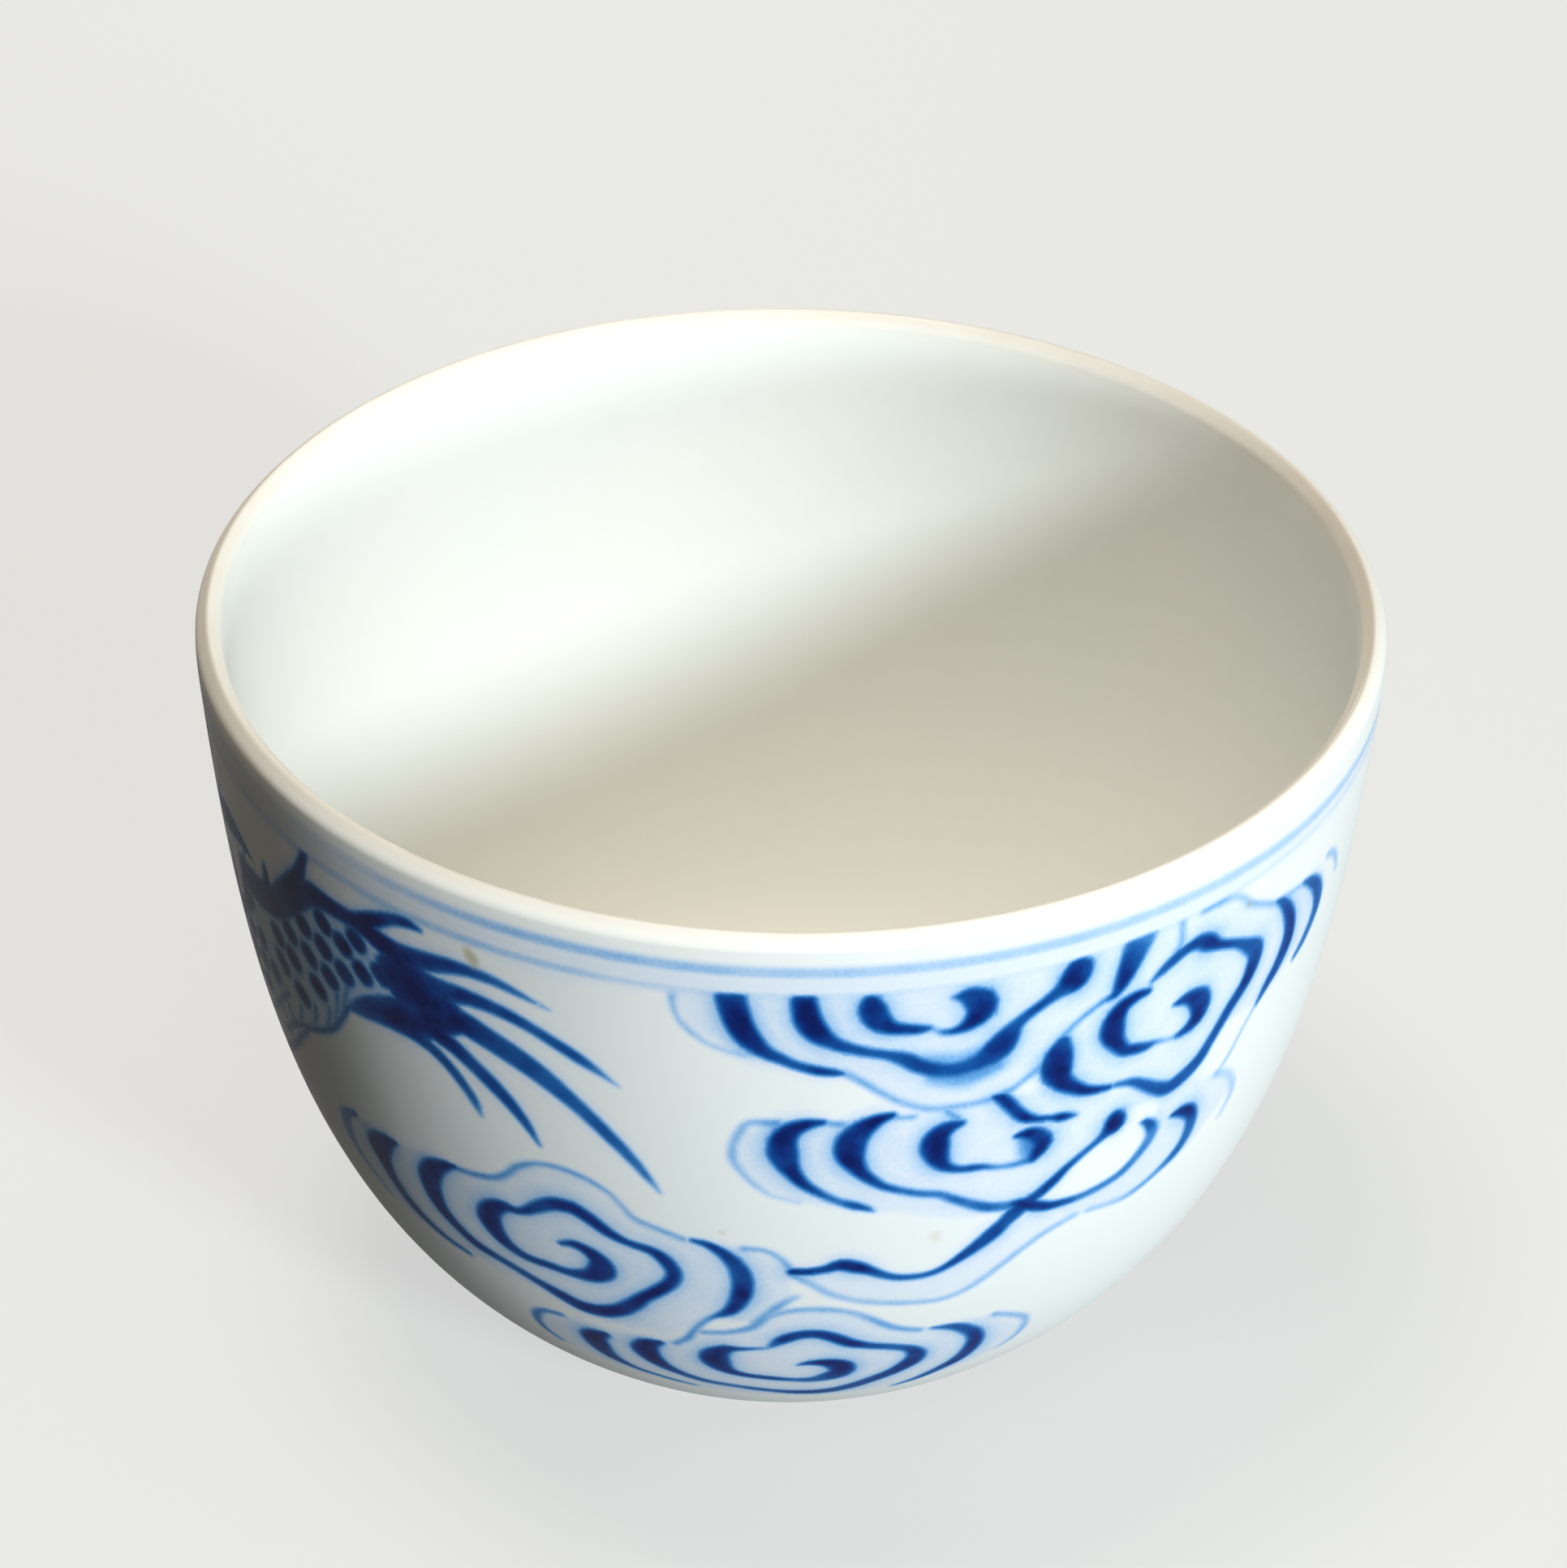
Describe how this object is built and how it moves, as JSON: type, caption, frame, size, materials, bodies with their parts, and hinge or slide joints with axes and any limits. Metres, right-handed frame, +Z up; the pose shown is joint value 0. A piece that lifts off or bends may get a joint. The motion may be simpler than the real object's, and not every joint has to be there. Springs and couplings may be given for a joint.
{
  "type": "porcelain cup",
  "caption": "Deep round porcelain tea cup without a handle, with a rounded lip, a low foot ring and blue painted scroll clouds.",
  "frame": {"origin": "centre of the circle on which the cup stands, on the table plane", "axes": "+Z up along the axis of the bowl, -Y towards the viewer of the picture"},
  "size_m": [0.085, 0.085, 0.06],
  "materials": {
    "porcelain_clay": "fired white porcelain clay, smooth and matt",
    "bare_foot_clay": "bare fired clay, slightly warm, fine grain",
    "white_glaze": "clear glossy glaze over white clay, with a faint blue-green tint",
    "lip_glaze": "thin glossy glaze that turns cream over the lip",
    "cobalt_blue": "cobalt blue under glossy glaze",
    "pale_cobalt": "diluted cobalt blue under glossy glaze"
  },
  "bodies": {
    "root": {"body": "porcelain_clay", "foot_ring": "bare_foot_clay", "inner_glaze": "white_glaze", "lip_glaze": "lip_glaze", "outer_glaze": "white_glaze", "well_glaze": "white_glaze", "upper_rim_line": "cobalt_blue", "lower_rim_line": "pale_cobalt"}
  },
  "joints": []
}
